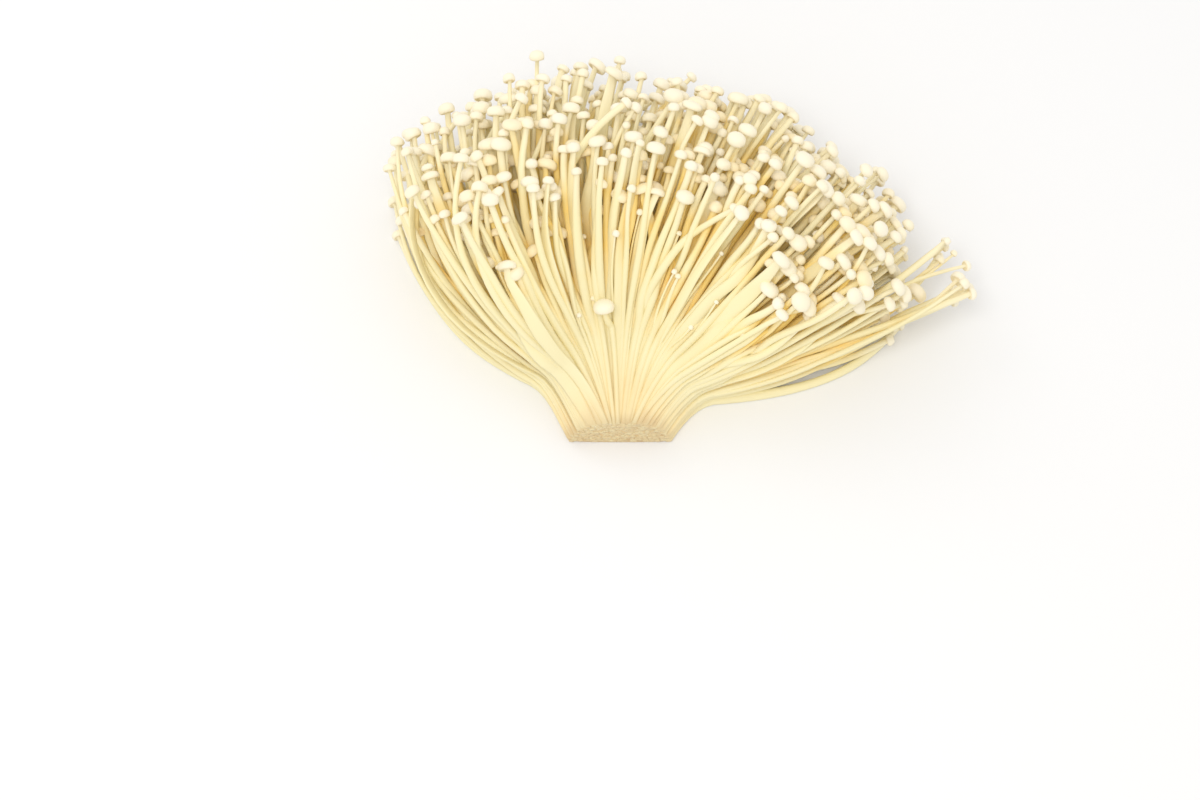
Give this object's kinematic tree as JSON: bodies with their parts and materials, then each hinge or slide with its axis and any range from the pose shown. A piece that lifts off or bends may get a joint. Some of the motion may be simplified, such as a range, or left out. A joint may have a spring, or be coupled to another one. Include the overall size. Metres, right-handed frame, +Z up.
{
  "type": "enoki mushroom cluster",
  "caption": "Bunch of enoki mushrooms lying down, its long thin stems fanned out from a fused, cut foot to a crowd of small round caps.",
  "frame": {"origin": "on the surface it lies on, under the middle of the whole cluster", "axes": "+X across the fan of stems, +Y from the cut foot towards the caps, +Z up from the surface"},
  "size_m": [0.2352, 0.1548, 0.0753],
  "materials": {
    "fruit_body": "satin",
    "foot": "matte"
  },
  "bodies": {
    "root": {"foot": "foot", "sprig_row1_01": "fruit_body", "sprig_row1_02": "fruit_body", "sprig_row1_03": "fruit_body", "sprig_row1_04": "fruit_body", "sprig_row1_05": "fruit_body", "sprig_row1_06": "fruit_body", "sprig_row1_07": "fruit_body", "sprig_row1_08": "fruit_body", "sprig_row1_09": "fruit_body", "sprig_row1_10": "fruit_body", "sprig_row1_11": "fruit_body", "sprig_row1_12": "fruit_body", "sprig_row1_13": "fruit_body", "sprig_row1_14": "fruit_body", "sprig_row2_01": "fruit_body", "sprig_row2_02": "fruit_body", "sprig_row2_03": "fruit_body", "sprig_row2_04": "fruit_body", "sprig_row2_05": "fruit_body", "sprig_row2_06": "fruit_body", "sprig_row2_07": "fruit_body", "sprig_row2_08": "fruit_body", "sprig_row2_09": "fruit_body", "sprig_row2_10": "fruit_body", "sprig_row2_11": "fruit_body", "sprig_row2_12": "fruit_body", "sprig_row2_13": "fruit_body", "sprig_row3_01": "fruit_body", "sprig_row3_02": "fruit_body", "sprig_row3_03": "fruit_body", "sprig_row3_04": "fruit_body", "sprig_row3_05": "fruit_body", "sprig_row3_06": "fruit_body", "sprig_row3_07": "fruit_body", "sprig_row3_08": "fruit_body", "sprig_row3_09": "fruit_body", "sprig_row3_10": "fruit_body", "sprig_row3_11": "fruit_body", "sprig_row3_12": "fruit_body", "sprig_row4_01": "fruit_body", "sprig_row4_02": "fruit_body", "sprig_row4_03": "fruit_body", "sprig_row4_04": "fruit_body", "sprig_row4_05": "fruit_body", "sprig_row4_06": "fruit_body", "sprig_row4_07": "fruit_body", "sprig_row4_08": "fruit_body", "sprig_row4_09": "fruit_body", "sprig_row4_10": "fruit_body", "sprig_row4_11": "fruit_body", "sprig_row5_01": "fruit_body", "sprig_row5_02": "fruit_body", "sprig_row5_03": "fruit_body", "sprig_row5_04": "fruit_body", "sprig_row5_05": "fruit_body", "sprig_row5_06": "fruit_body", "sprig_row5_07": "fruit_body", "sprig_row5_08": "fruit_body", "sprig_row5_09": "fruit_body"}
  },
  "joints": []
}
